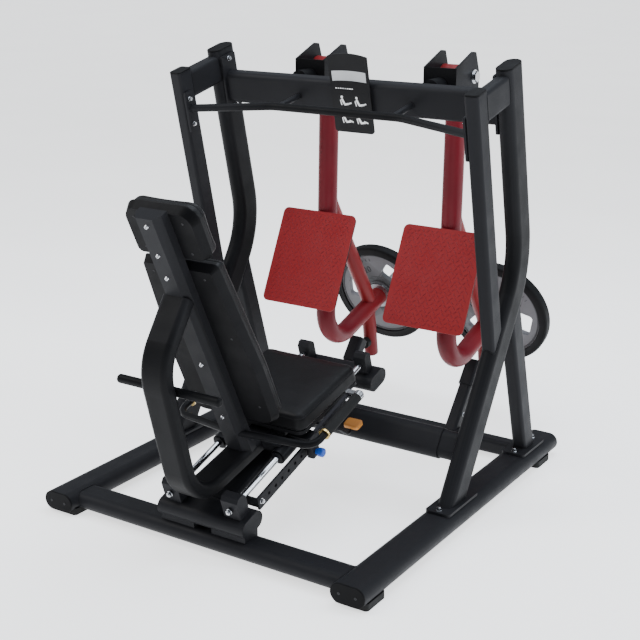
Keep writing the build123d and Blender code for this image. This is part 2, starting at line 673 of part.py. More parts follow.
def plate_webs(x, tube):
    """Two upright webs and a pad that carry the foot plate on the drop tube."""
    back = TREAD_THICKNESS + PLATE_THICKNESS
    plane = plate_plane(x, back)
    low = plane.from_local_coords(Vector(0, -150, 0))
    high = plane.from_local_coords(Vector(0, 176, 0))
    tube_y = 1226.0
    outline = [(low.Y, low.Z), (high.Y, high.Z), (tube_y, high.Z), (tube_y, low.Z + 30)]
    webs = []
    for offset in (-26, 18):
        side_plane = Plane(origin=(x + offset, 0, 0), x_dir=(0, 1, 0), z_dir=(1, 0, 0))
        web = extrude(side_plane * make_face(Polyline(*outline, close=True)), 8) - tube
        webs.append(web.solids().sort_by(Axis.Y)[0])
    return webs


for name, side in SIDES.items():
    x = side * ARM_X
    tube_outline = arm_tube(side, hollow=False)
    brace = member(ring(31, 27.5), *in_plane(x, BRACE_TOP, BRACE_FOOT)) - tube_outline
    stub = member(Circle(STUB_DIAMETER / 2), *in_plane(x, STUB_TOP, STUB_FOOT)) - tube_outline
    stub = stub.solids().sort_by(Axis.Z)[0]
    stub = fillet(stub.faces().sort_by(Axis.Z)[0].edges(), 8)
    pieces = [brace.solids().sort_by(SortBy.VOLUME)[-1], stub] + plate_webs(x, tube_outline)
    save(f"{name}_arm_tube", arm_with_hub(side))
    save(f"{name}_arm_brace", *pieces)
    save(f"{name}_foot_plate", foot_plate(x, TREAD_THICKNESS, PLATE_THICKNESS, 4))
    save(f"{name}_foot_tread", foot_plate(x, 0, TREAD_THICKNESS, 0))

    flange = cylinder_along((x, *along_horn_line(-FLANGE_RING)), along_horn, 56, FLANGE_RING)
    horn = cylinder_along((x, *along_horn_line(0)), along_horn, HORN_RADIUS, HORN_LENGTH)
    tip_face = horn.faces().sort_by(Axis((0, 0, 0), along_horn))[-1]
    seat = cylinder_along((x, *along_horn_line(0)), along_horn, *HORN_SEAT)
    save(f"{name}_weight_horn", flange + seat + chamfer(tip_face.edges(), 3))

# ---------------------------------------------------------------- weight plates
RIM_INNER = 192.0
DISC_THICKNESS = 24.0
HUB_RADIUS = 62.0
BORE_GAP = 0.4
WINDOW_RADIUS = 120.0
WINDOW_TURN = {"left": -55.0, "right": 15.0}


def window(turn):
    """Rounded grip opening of a weight plate, turned about the plate's axis."""
    return Rot(0, 0, turn) * Pos(WINDOW_RADIUS, 0) * RectangleRounded(70, 96, 14)


for name, side in SIDES.items():
    x = side * ARM_X
    rest = along_horn_line(WEIGHT_GAP)
    plane = Plane(origin=(x, *rest), x_dir=(1, 0, 0), z_dir=along_horn)
    rim = extrude(plane * ring(WEIGHT_RADIUS, RIM_INNER), WEIGHT_THICKNESS)
    rim = fillet(rim.edges().filter_by(GeomType.CIRCLE).group_by(SortBy.RADIUS)[-1], 9)
    inset = (WEIGHT_THICKNESS - DISC_THICKNESS) / 2
    disc = extrude(plane.offset(inset) * Circle(RIM_INNER), DISC_THICKNESS)
    disc += extrude(plane * Circle(HUB_RADIUS), WEIGHT_THICKNESS)
    for step in range(3):
        disc -= extrude(plane * window(WINDOW_TURN[name] + 120 * step), WEIGHT_THICKNESS)
    disc -= extrude(plane * Circle(HORN_SEAT[0] + BORE_GAP), WEIGHT_THICKNESS)
    save(f"{name}_weight_rim", rim)
    save(f"{name}_weight_disc", disc)

# ---------------------------------------------------------------- seat carriage
lean = radians(BACK_LEAN)
up_back = Vector(0, -sin(lean), cos(lean))
out_back = Vector(0, cos(lean), sin(lean))
SEAT_TUBE_WIDTH = 100.0
SEAT_TUBE_DEPTH = 54.0
SEAT_TUBE_CORNER = 18.0
SEAT_TUBE_TOP = (-20.0, 886.0)
SEAT_TUBE_REAR = (-149.0, 700.0)
SEAT_TUBE_LOW = (-18.0, 204.0)
SEAT_TUBE_FRONT = (590.0, 351.0)


def back_plane(out):
    """Plane parallel to the backrest, some way in front of the spine's rear face."""
    origin = out_back * (SPINE_OFFSET + out)
    return Plane(origin=origin, x_dir=(-1, 0, 0), z_dir=out_back)


def seat_tube(hollow=True):
    """Bent tube: down behind the backrest, round below, and forward under the seat."""
    corners = [SEAT_TUBE_TOP, SEAT_TUBE_REAR, SEAT_TUBE_LOW, SEAT_TUBE_FRONT]
    points = [(0, *corner) for corner in corners]
    y_run, z_run = run_angle(SEAT_TUBE_TOP, SEAT_TUBE_REAR)
    wall = WALL if hollow else None
    section = rounded(SEAT_TUBE_WIDTH, SEAT_TUBE_DEPTH, SEAT_TUBE_CORNER, wall)
    path = FilletPolyline(*points, radius=[170, 130])
    start = Plane(origin=points[0], x_dir=(1, 0, 0), z_dir=(0, y_run, z_run))
    return sweep(start * section, path=path)


tube_outline = seat_tube(hollow=False)
SPINE = [(-50, 50), (-50, 22), (-31, 0), (31, 0), (50, 22), (50, 50)]
SPINE_BOTTOM = 143.0
SPINE_TOP = 1120.0


def spine_block(bottom, top, shrink):
    """Spine channel between two heights, its outline drawn in by a wall thickness."""
    origin = out_back * SPINE_OFFSET + up_back * bottom
    plane = Plane(origin=origin, x_dir=(1, 0, 0), z_dir=up_back)
    outline = make_face(Polyline(*SPINE, close=True))
    if shrink:
        outline = offset(outline, -shrink)
    return extrude(plane * outline, top - bottom)


spine_outline = spine_block(SPINE_BOTTOM, SPINE_TOP, 0)
spine = spine_outline - spine_block(SPINE_BOTTOM - 5, SPINE_TOP - 6, 4) - tube_outline
spine = spine.solids().sort_by(SortBy.VOLUME)[-1]
save("back_spine", spine)
upper_tube = seat_tube() - spine_outline
save("seat_tube", upper_tube.solids().sort_by(SortBy.VOLUME)[-1])

# Backrest and head pad: outlines in the plane of the back, across and up
BACK_PAD = [(-168, 270), (-168, 500), (-135, 906), (135, 906), (168, 500), (168, 270)]
HEAD_PAD = [(-130, 940), (-130, 1114), (130, 1114), (130, 940)]
PAD_CORNERS = {"back_pad": (52, 16), "head_pad": (26, 50)}  # radius of lower and of top corners
PAD_GROW = 7.0
BOARD_BEVEL = 12.0
BOARD_THICKNESS = 30.0
PAD_THICKNESS = 43.0


def pad_outline(points, grow, low_radius, top_radius):
    """Pad outline drawn out on every side, its two top corners with their own radius."""
    outline = offset(make_face(Polyline(*points, close=True)), grow, kind=Kind.INTERSECTION)
    outline = fillet(outline.vertices().sort_by(Axis.Y)[-2:], top_radius)
    rounded_from = points[2][1] - top_radius - 40
    sharp = [vertex for vertex in outline.vertices().sort_by(Axis.Y) if vertex.Y < rounded_from]
    return fillet(sharp, low_radius)


boards = []
for name, points in (("back_pad", BACK_PAD), ("head_pad", HEAD_PAD)):
    low_radius, top_radius = PAD_CORNERS[name]
    lower = back_plane(50) * pad_outline(points, PAD_GROW - BOARD_BEVEL, low_radius - 8, top_radius - 8)
    upper = back_plane(50 + BOARD_THICKNESS) * pad_outline(points, PAD_GROW, low_radius, top_radius)
    boards.append(loft([lower.face(), upper.face()]))
    front = back_plane(50 + BOARD_THICKNESS + CLEAR) * pad_outline(points, PAD_GROW, low_radius, top_radius)
    pad = extrude(front, PAD_THICKNESS)
    save(name, fillet(pad.faces().sort_by(Axis((0, 0, 0), out_back))[-1].edges(), 14))

# Seat cushion, its board and the carrier under it
seat_angle = radians(SEAT_SLOPE)
along_seat = (0, cos(seat_angle), sin(seat_angle))
above_seat = (0, -sin(seat_angle), cos(seat_angle))


def seat_plane(back, below):
    """Plane parallel to the seat, its origin behind the front edge and below the top."""
    y = SEAT_FRONT[0] - back * along_seat[1] - below * above_seat[1]
    z = SEAT_FRONT[1] - back * along_seat[2] - below * above_seat[2]
    return Plane(origin=(0, y, z), x_dir=(1, 0, 0), z_dir=above_seat)


seat_middle = SEAT_LENGTH / 2
SEAT_BOARD = 14.0
cushion = extrude(seat_plane(seat_middle, 0) * RectangleRounded(SEAT_WIDTH, SEAT_LENGTH, 34), -SEAT_THICKNESS)
cushion = fillet(cushion.faces().sort_by(Axis((0, 0, 0), above_seat))[-1].edges(), 18)
save("seat_pad", cushion)
board = extrude(
    seat_plane(seat_middle, SEAT_THICKNESS + CLEAR) * RectangleRounded(SEAT_WIDTH - 14, SEAT_LENGTH - 14, 28),
    -SEAT_BOARD,
)
save("pad_boards", *boards, board)

carrier_top = SEAT_THICKNESS + CLEAR + SEAT_BOARD
carrier_outline = seat_plane(seat_middle + 6, carrier_top) * RectangleRounded(180, 300, 12)
carrier = extrude(carrier_outline, -46) - tube_outline
carrier = carrier.solids().sort_by(SortBy.VOLUME)[-1]
HOUSING_RADIUS = 27.0
HOUSING_LENGTH = 92.0
HOUSINGS = (284.0, 520.0)
cross_bars = []
for start in HOUSINGS:
    bar = rail_box(0, start + HOUSING_LENGTH / 2, 18, 2 * RAIL_X, 52, 30, 6)
    cross_bars.append(bar)
PIN_STATION = STRIP_START + 62 + 6 * HOLE_PITCH
LATCH_X = 184.0
LATCH_WIDTH = 28.0
latch = rail_box(LATCH_X, PIN_STATION, -14, LATCH_WIDTH, 44, 88, 5)
latch_arm = rail_box((RAIL_X + LATCH_X) / 2, PIN_STATION - 14, 22, LATCH_X - RAIL_X + 14, 30, 16)

housings = []
housing_outlines = []
for side in SIDES.values():
    x = side * RAIL_X
    for start in HOUSINGS:
        origin = on_rail(x, start, 0)
        shell = cylinder_along(origin, along_rail, HOUSING_RADIUS, HOUSING_LENGTH)
        lip = cylinder_along(on_rail(x, start - 5, 0), along_rail, HOUSING_RADIUS - 5, HOUSING_LENGTH + 10)
        outline = shell + lip
        housing_outlines.append(outline)
        bore_radius = ROD_RADIUS + PIN_CLEARANCE
        rod_bore = cylinder_along(on_rail(x, start - 10, 0), along_rail, bore_radius, HOUSING_LENGTH + 20)
        housings.append(outline - rod_bore)
save("bearing_housings", *housings)

frame_parts = []
for bar in cross_bars:
    for outline in housing_outlines:
        bar = bar - outline
    bar = bar - tube_outline - carrier
    frame_parts += [piece for piece in bar.solids() if piece.volume > 4000]
for outline in housing_outlines:
    latch_arm = latch_arm - outline
latch_arm = latch_arm.solids().sort_by(Axis.X)[-1]
pin_bore = cylinder_along(on_rail(LATCH_X - 40, PIN_STATION, STRIP_DROP), (1, 0, 0), 6.1, 80)
latch_plate = latch + latch_arm - pin_bore
LEVER_STATION = 470.0
LEVER_RISE = 18.0
LEVER_SHAFT = 5.0
CARRIER_SIDE = 90.0
lever_pivot = on_rail(0, LEVER_STATION, LEVER_RISE)[1:]
bush = cylinder_along((CARRIER_SIDE, *lever_pivot), (1, 0, 0), 10, 18, LEVER_SHAFT + PIN_CLEARANCE)
save("carriage_frame", carrier, latch_plate, bush, *frame_parts)

# Handles
HANDLE_RADIUS = 12.7
HANDLE_ROOT = (50.0, 232.0, 368.0)
HANDLE_CORNER = (280.0, 296.0, 352.0)
GRIP_START = 66.0
GRIP_LENGTH = 214.0
GRIP_RADIUS = 18.0
handles = []
grips = []
rings = []
clamps = []
for side in SIDES.values():
    root = (side * 20, HANDLE_ROOT[1] - 8, HANDLE_ROOT[2] + 2)
    corner = Vector(side * HANDLE_CORNER[0], *HANDLE_CORNER[1:])
    forward = Vector(*along_rail)
    end = corner + forward * (GRIP_START + GRIP_LENGTH + 26)
    path = FilletPolyline(root, corner, end, radius=55)
    run = corner - Vector(*root)
    handle = sweep(Plane(origin=root, z_dir=run) * Circle(HANDLE_RADIUS), path=path) - spine_outline
    handles.append(max(handle.solids(), key=lambda piece: abs(piece.center().X)))
    ring_start = corner + forward * GRIP_START
    rings.append(cylinder_along(ring_start, along_rail, 20, 7, HANDLE_RADIUS))
    grip_start = corner + forward * (GRIP_START + 7)
    grip = cylinder_along(grip_start, along_rail, GRIP_RADIUS, GRIP_LENGTH - 7, HANDLE_RADIUS)
    grips.append(grip)
    clamp_start = corner + forward * (GRIP_START + GRIP_LENGTH)
    clamp = cylinder_along(clamp_start, along_rail, 17.5, 20, HANDLE_RADIUS)
    ear_plane = Plane(origin=(clamp_start + forward * 10), x_dir=(-side, 0, 0), z_dir=above_rail)
    for level in (-12, 5):
        ear = extrude(ear_plane.offset(level) * Pos(28, 0) * RectangleRounded(36, 20, 5), 7)
        ear = ear - cylinder_along(clamp_start, along_rail, HANDLE_RADIUS, 20)
        clamp += ear
    clamps.append(clamp)

REAR_HANDLE = (-84.0, 610.0)
cross_handle = cylinder_along((-202, *REAR_HANDLE), (1, 0, 0), 15, 404)
cross_handle = fillet(cross_handle.edges().filter_by(GeomType.CIRCLE), 9)
handles += [piece for piece in (cross_handle - tube_outline).solids() if piece.volume > 50000]
save("carriage_handles", *handles)
save("hand_grips", *grips)
save("grip_rings", *rings)

# Hand levers hinged in the clamps at the front of the grips
LEVER_LENGTH = 214.0
EAR_PIVOT = 38.0
hinge_pins = []
for name, side in SIDES.items():
    corner = Vector(side * HANDLE_CORNER[0], *HANDLE_CORNER[1:])
    hinge = corner + Vector(*along_rail) * (GRIP_START + GRIP_LENGTH + 10) + Vector(-side * EAR_PIVOT, 0, 0)
    lever_plane = Plane(origin=hinge, x_dir=(-side, 0, 0), z_dir=above_rail)
    blade_outline = Pos(0, side * LEVER_LENGTH / 2) * RectangleRounded(13, LEVER_LENGTH + 18, 6)
    blade = extrude(lever_plane.offset(-4.7) * blade_outline, 9.4)
    pin_hole = cylinder_along((hinge - Vector(*above_rail) * 30), above_rail, 3.05, 60)
    save(f"{name}_hand_lever", blade - pin_hole)
    pin = cylinder_along((hinge - Vector(*above_rail) * 14), above_rail, 3, 28)
    hinge_pins.append(pin)
    index = 0 if side < 0 else 1
    clamps[index] = clamps[index] - pin
save("lever_clamps", *clamps, *hinge_pins)

# Spring pin that locks the carriage in the index strip
PIN_TIP = STRIP_X + STRIP_THICKNESS / 2 + 0.5
KNOB_X = 206.0
COLLAR_X = LATCH_X + LATCH_WIDTH / 2 + CLEAR
pin_centre = on_rail(0, PIN_STATION, STRIP_DROP)
shank = cylinder_along((PIN_TIP, *pin_centre[1:]), (1, 0, 0), 6, KNOB_X - PIN_TIP)
knob = cylinder_along((KNOB_X, *pin_centre[1:]), (1, 0, 0), 16, 22)
knob = fillet(knob.edges().filter_by(GeomType.CIRCLE), 5)
collar = cylinder_along((COLLAR_X, *pin_centre[1:]), (1, 0, 0), 10, KNOB_X - COLLAR_X)
save("pull_pin", shank + collar + knob)

# Release lever with its paddle
PADDLE_X = 250.0
paddle_seat = on_rail(0, 560, -30)[1:]
rod_points = [
    (CARRIER_SIDE + 1, *lever_pivot),
    (PADDLE_X, *lever_pivot),
    (PADDLE_X, *on_rail(0, 522, -46)[1:]),
    (PADDLE_X, *on_rail(0, 568, -30)[1:]),
]
rod = bent(Circle(LEVER_SHAFT), rod_points, 16, (0, 1, 0))
paddle_plane = Plane(origin=(PADDLE_X, *paddle_seat), x_dir=(1, 0, 0), z_dir=above_rail)
paddle = extrude(paddle_plane.offset(-6) * RectangleRounded(58, 42, 9), 15)
save("release_lever", (rod - paddle).solids().sort_by(SortBy.VOLUME)[-1])
save("release_paddle", fillet(paddle.faces().sort_by(Axis((0, 0, 0), above_rail))[-1].edges(), 4))

# Screws on the spine
screws = []
for height in (1091, 984, 899, 548, 314):
    seat = out_back * SPINE_OFFSET + up_back * height
    screws.append(button_screw(seat, (-out_back), 7.5))
save("carriage_screws", *screws)
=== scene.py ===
"""Looks for the seated leg press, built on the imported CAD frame. Metres, +Z up, +Y the way the user faces."""

import math

import bmesh
import bpy
import numpy as np
from mathutils import Matrix, Vector
from mathutils.bvhtree import BVHTree


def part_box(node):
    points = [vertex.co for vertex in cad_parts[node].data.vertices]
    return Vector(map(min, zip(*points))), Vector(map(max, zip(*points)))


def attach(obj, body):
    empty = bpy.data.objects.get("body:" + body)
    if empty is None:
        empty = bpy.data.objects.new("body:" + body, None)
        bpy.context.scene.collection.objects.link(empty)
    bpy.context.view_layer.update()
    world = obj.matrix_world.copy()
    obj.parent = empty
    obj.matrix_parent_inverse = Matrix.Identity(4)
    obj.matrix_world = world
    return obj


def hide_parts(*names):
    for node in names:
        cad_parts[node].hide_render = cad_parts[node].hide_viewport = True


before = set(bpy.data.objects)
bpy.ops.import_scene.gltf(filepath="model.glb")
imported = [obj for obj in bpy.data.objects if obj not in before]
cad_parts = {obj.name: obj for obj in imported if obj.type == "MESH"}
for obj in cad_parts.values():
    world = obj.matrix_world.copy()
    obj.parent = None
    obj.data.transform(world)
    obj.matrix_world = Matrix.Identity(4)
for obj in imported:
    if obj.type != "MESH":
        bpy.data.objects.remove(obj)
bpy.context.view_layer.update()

SIDES = {"left": -1, "right": 1}
ARM_X = 0.273
MIDDLE = 0.876


# ---------------------------------------------------------------- shader helpers
MIX_FIRST, MIX_SECOND, MIX_RESULT = 6, 7, 2  # the colour sockets of a mix node
EDGE_STARTS, EDGE_BARE = 0.54, 0.60  # pointiness where paint thins, and where it is gone
COAT_GRAIN, COAT_GRAIN_DEPTH = 900, 0.00025
COAT_EDGE_GAIN = 2.2
PLASTIC_EDGE_GAIN = 1.8
METAL_DARKER = 0.82


class Shader:
    """A Principled surface with noise, mixes and bumps added in short calls."""

    def __init__(self, material):
        material.use_nodes = True
        self.tree = material.node_tree
        self.tree.nodes.clear()
        output = self.tree.nodes.new("ShaderNodeOutputMaterial")
        self.surface = self.tree.nodes.new("ShaderNodeBsdfPrincipled")
        self.tree.links.new(self.surface.outputs["BSDF"], output.inputs["Surface"])
        self.coords = self.tree.nodes.new("ShaderNodeTexCoord").outputs["Object"]

    def set(self, **values):
        for name, value in values.items():
            self.surface.inputs[name.replace("_", " ")].default_value = value
        return self

    def noise(self, scale, detail=3.0, stretch=None):
        node = self.tree.nodes.new("ShaderNodeTexNoise")
        node.inputs["Scale"].default_value = scale
        node.inputs["Detail"].default_value = detail
        self.tree.links.new(self.stretched(stretch), node.inputs["Vector"])
        return node.outputs["Fac"]

    def cells(self, scale):
        node = self.tree.nodes.new("ShaderNodeTexVoronoi")
        node.inputs["Scale"].default_value = scale
        self.tree.links.new(self.coords, node.inputs["Vector"])
        return node.outputs["Distance"]

    def stretched(self, stretch):
        if stretch is None:
            return self.coords
        node = self.tree.nodes.new("ShaderNodeMapping")
        node.inputs["Scale"].default_value = stretch
        self.tree.links.new(self.coords, node.inputs["Vector"])
        return node.outputs["Vector"]

    def span(self, value, low, high, start=0.3, end=0.7):
        """The value from start to end, remapped to low and high."""
        node = self.tree.nodes.new("ShaderNodeMapRange")
        node.inputs["From Min"].default_value = start
        node.inputs["From Max"].default_value = end
        node.inputs["To Min"].default_value = low
        node.inputs["To Max"].default_value = high
        self.tree.links.new(value, node.inputs["Value"])
        return node.outputs["Result"]

    def mix(self, value, first, second):
        node = self.tree.nodes.new("ShaderNodeMix")
        node.data_type = "RGBA"
        self.tree.links.new(value, node.inputs["Factor"])
        for socket, colour in ((MIX_FIRST, first), (MIX_SECOND, second)):
            if isinstance(colour, tuple):
                node.inputs[socket].default_value = (*colour, 1)
            else:
                self.tree.links.new(colour, node.inputs[socket])
        return node.outputs[MIX_RESULT]

    def bump(self, *layers):
        """Bumps one on another, each a (height, depth in metres, strength)."""
        normal = None
        for height, depth, strength in layers:
            node = self.tree.nodes.new("ShaderNodeBump")
            node.inputs["Distance"].default_value = depth
            node.inputs["Strength"].default_value = strength
            self.tree.links.new(height, node.inputs["Height"])
            if normal is not None:
                self.tree.links.new(normal, node.inputs["Normal"])
            normal = node.outputs["Normal"]
        self.tree.links.new(normal, self.surface.inputs["Normal"])

    def colour(self, value):
        self.tree.links.new(value, self.surface.inputs["Base Color"])

    def rough(self, value):
        self.tree.links.new(value, self.surface.inputs["Roughness"])

    def worn(self, paint, bare):
        """Paint that thins to a bare tone along sharp edges."""
        edge = self.tree.nodes.new("ShaderNodeNewGeometry").outputs["Pointiness"]
        return self.mix(self.span(edge, 0.0, 1.0, EDGE_STARTS, EDGE_BARE), paint, bare)


def slot_material(name):
    found = bpy.data.materials.get(name)
    return found or bpy.data.materials.new(name)


def powder_coat(name, dark, light, rough=(0.36, 0.5), bare=None, gloss=0.09):
    """Satin paint with a fine peel, lighter where edges are worn."""
    s = Shader(slot_material(name)).set(Specular_IOR_Level=gloss)
    broad = s.mix(s.span(s.noise(scale=5, detail=4), 0, 1), dark, light)
    fine = s.noise(COAT_GRAIN, detail=2)
    s.colour(s.worn(broad, bare or tuple(min(1, c * COAT_EDGE_GAIN) for c in light)))
    s.rough(s.span(s.noise(scale=14, detail=5), *rough))
    s.bump((fine, COAT_GRAIN_DEPTH, 0.6), (s.noise(scale=60, detail=3), 0.0004, 0.15))


def metal(name, colour, rough, grain, stretch=None, scuff=0.08):
    """Bare metal with streaks that change how rough it is."""
    s = Shader(slot_material(name)).set(Metallic=1.0)
    darker = tuple(c * METAL_DARKER for c in colour)
    s.colour(s.mix(s.span(s.noise(scale=9, detail=5), 0, 1), darker, colour))
    streak = s.noise(grain, 3, stretch)
    s.rough(s.span(streak, rough, rough + scuff))
    s.bump((streak, 0.00006, 0.4))


def plastic(name, dark, light, rough, grain=700, depth=0.0002, gloss=0.1):
    """Moulded plastic or rubber with a fine grain."""
    s = Shader(slot_material(name)).set(Specular_IOR_Level=gloss)
    broad = s.mix(s.span(s.noise(scale=7, detail=4), 0, 1), dark, light)
    s.colour(s.worn(broad, tuple(min(1, c * PLASTIC_EDGE_GAIN) for c in light)))
    s.rough(s.span(s.noise(scale=18, detail=4), rough, rough + 0.14))
    s.bump((s.noise(grain, detail=2), depth, 0.5))


def leather(name, dark, light):
    """Artificial leather: pores, fine wrinkles and a broad unevenness."""
    s = Shader(slot_material(name)).set(Specular_IOR_Level=0.16)
    pores = s.cells(scale=520)
    s.colour(s.mix(s.span(s.noise(scale=6, detail=5), 0, 1), dark, light))
    s.rough(s.span(s.noise(scale=22, detail=4), 0.36, 0.52))
    wrinkles = s.noise(scale=130, detail=4)
    uneven = s.noise(scale=9, detail=2)
    s.bump((pores, 0.00035, 0.45), (wrinkles, 0.0004, 0.3), (uneven, 0.004, 0.12))


def cast_iron(name, dark, light, bare):
    """Painted casting with a coarse grain."""
    s = Shader(slot_material(name)).set(Specular_IOR_Level=0.2)
    s.colour(s.worn(s.mix(s.span(s.noise(scale=11, detail=5), 0, 1), dark, light), bare))
    s.rough(s.span(s.noise(scale=30, detail=4), 0.5, 0.66))
    s.bump((s.noise(scale=380, detail=3), 0.0004, 0.5), (s.noise(scale=40, detail=2), 0.0006, 0.2))


powder_coat("charcoal_frame", (0.0046, 0.0047, 0.0053), (0.0072, 0.0073, 0.0082), rough=(0.38, 0.52), gloss=0.07)
powder_coat("dark_steel", (0.006, 0.006, 0.007), (0.010, 0.010, 0.012), rough=(0.34, 0.46))
powder_coat("black_housing", (0.004, 0.004, 0.0045), (0.006, 0.006, 0.007), rough=(0.28, 0.4))
powder_coat("plate_backing", (0.005, 0.005, 0.0055), (0.008, 0.008, 0.009))
powder_coat(
    "red_frame",
    (0.115, 0.0028, 0.0085),
    (0.15, 0.004, 0.0115),
    rough=(0.36, 0.5),
    bare=(0.2, 0.01, 0.012),
    gloss=0.22,
)
powder_coat(
    "red_tread",
    (0.160, 0.0022, 0.0080),
    (0.20, 0.0030, 0.0100),
    rough=(0.44, 0.58),
    bare=(0.26, 0.012, 0.014),
    gloss=0.2,
)
plastic("black_plastic", (0.0028, 0.0028, 0.0031), (0.0048, 0.0048, 0.0053), 0.44, gloss=0.06)
plastic("black_rubber", (0.005, 0.005, 0.005), (0.009, 0.009, 0.009), 0.6, grain=420, depth=0.0004)
plastic("placard_black", (0.004, 0.004, 0.0045), (0.006, 0.006, 0.0065), 0.36)
plastic("weight_black", (0.004, 0.004, 0.0045), (0.008, 0.008, 0.0085), 0.5, grain=320, depth=0.0004)
plastic("blue_knob", (0.01, 0.07, 0.42), (0.02, 0.11, 0.55), 0.22, gloss=0.4)
plastic("orange_paddle", (0.36, 0.13, 0.02), (0.44, 0.175, 0.03), 0.38, gloss=0.3)
metal("chrome", (0.55, 0.56, 0.58), 0.13, grain=260, scuff=0.10)
metal("horn_steel", (0.46, 0.47, 0.49), 0.26, grain=300, stretch=(1, 0.08, 0.3), scuff=0.18)
metal("gold_ring", (0.80, 0.57, 0.22), 0.18, grain=300)
leather("black_leather", (0.0035, 0.0035, 0.004), (0.007, 0.007, 0.0078))
plastic("piping_black", (0.006, 0.006, 0.0065), (0.012, 0.012, 0.013), 0.4)
cast_iron("weight_grey", (0.068, 0.070, 0.074), (0.095, 0.098, 0.102), bare=(0.17, 0.17, 0.18))
# A darker red for the raised tread lozenges: painted shade standing in for the shade along their raised edges.
powder_coat(
    "red_figure",
    (0.105, 0.002, 0.006),
    (0.135, 0.003, 0.0085),
    rough=(0.4, 0.5),
    bare=(0.2, 0.006, 0.014),
    gloss=0.3,
)
metal("silver_print", (0.42, 0.43, 0.44), 0.34, grain=400, stretch=(0.1, 1, 1))
plastic("white_print", (0.62, 0.62, 0.62), (0.74, 0.74, 0.74), 0.5)
plastic("dark_print", (0.02, 0.02, 0.022), (0.035, 0.035, 0.037), 0.5)


# ---------------------------------------------------------------- CAD nodes: softened edges
EDGE_WIDTH = 0.0012
BOARD_EDGE_WIDTH = 0.0016
SHARP_ANGLE = math.radians(38)
CUSHIONED = ("back_pad", "head_pad", "seat_pad")


def soften(node, width=EDGE_WIDTH, segments=2, harden=True):
    """Round the sharp edges of a CAD node where light catches them."""
    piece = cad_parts[node]
    bevel = piece.modifiers.new("edges", "BEVEL")
    bevel.width = width
    bevel.segments = segments
    bevel.limit_method = "ANGLE"
    bevel.angle_limit = SHARP_ANGLE
    bevel.harden_normals = harden
    bevel.use_clamp_overlap = True


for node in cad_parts:
    if node == "pad_boards":
        soften(node, BOARD_EDGE_WIDTH, segments=1, harden=False)
    elif node not in CUSHIONED:
        soften(node)


# ---------------------------------------------------------------- mesh pieces
def add_mesh(name, build, material):
    """A new mesh object made by a function that fills a bmesh."""
    mesh = bpy.data.meshes.new(name)
    bm = bmesh.new()
    build(bm)
    bm.to_mesh(mesh)
    bm.free()
    piece = bpy.data.objects.new(name, mesh)
    bpy.context.scene.collection.objects.link(piece)
    mesh.materials.append(bpy.data.materials[material])
    return piece


def declare(piece, body):
    """The piece rides on a body."""
    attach(piece, body)


class Flat:
    """A flat face in space: places points given across and up it, and off it."""

    def __init__(self, origin, across, up):
        self.origin = Vector(origin)
        self.across = Vector(across).normalized()
        self.up = Vector(up).normalized()
        self.out = self.across.cross(self.up)

    def at(self, u, v, w=0.0):
        return self.origin + self.across * u + self.up * v + self.out * w

    def matrix(self, u=0.0, v=0.0, w=0.0):
        axes = Matrix((self.across, self.up, self.out)).transposed().to_4x4()
        return Matrix.Translation(self.at(u, v, w)) @ axes


def raised_outline(bm, flat, outline, low, high, shrink=1.0):
    """A closed raised shape on a flat face: its outline at the foot, and drawn in at the top."""
    middle_u = sum(u for u, _ in outline) / len(outline)
    middle_v = sum(v for _, v in outline) / len(outline)
    foot = [bm.verts.new(flat.at(u, v, low)) for u, v in outline]
    top = []
    for u, v in outline:
        inner_u = middle_u + (u - middle_u) * shrink
        inner_v = middle_v + (v - middle_v) * shrink
        top.append(bm.verts.new(flat.at(inner_u, inner_v, high)))
    count = len(outline)
    for k in range(count):
        bm.faces.new((foot[k], foot[(k + 1) % count], top[(k + 1) % count], top[k]))
    bm.faces.new(top)
    bm.faces.new(foot[::-1])


def turned(outline, angle, u, v):
    """An outline turned about its own origin, then moved."""
    c, s = math.cos(angle), math.sin(angle)
    return [(u + a * c - b * s, v + a * s + b * c) for a, b in outline]


def disc(radius, count=16, u=0.0, v=0.0):
    """Outline of a circle round a point."""
    angles = [math.tau * k / count for k in range(count)]
    return [(u + radius * math.cos(angle), v + radius * math.sin(angle)) for angle in angles]


def bar(width, height):
    """Outline of a rectangle round the origin."""
    return [(-width / 2, -height / 2), (width / 2, -height / 2), (width / 2, height / 2), (-width / 2, height / 2)]


# ---------------------------------------------------------------- cushions
LEAN = math.radians(25.4)
SEAT_SLOPE = math.radians(13.0)
back_up = (0, -math.sin(LEAN), math.cos(LEAN))
seat_forward = (0, math.cos(SEAT_SLOPE), math.sin(SEAT_SLOPE))
VOXEL = 0.0055
HELD_DEPTH = 0.007
CLOTH_PRESSURE = 4.0
CLOTH_QUALITY = 4
SIM_FRAMES = 20
SMOOTHING = 40
CHANNEL_DEPTH = 0.0016
CHANNEL_WIDTH = 0.0028
PIPING_RADIUS = 0.0013
PIPING_STEP = 0.006
TINY = 1e-9
RIPPLE_TURN = 1.9


def evaluated(piece):
    """The mesh a piece shows with its modifiers, as new mesh data."""
    graph = bpy.context.evaluated_depsgraph_get()
    return bpy.data.meshes.new_from_object(piece.evaluated_get(graph), depsgraph=graph)


def bake(piece):
    """Apply a piece's modifiers to its mesh."""
    mesh = evaluated(piece)
    piece.modifiers.clear()
    piece.data = mesh


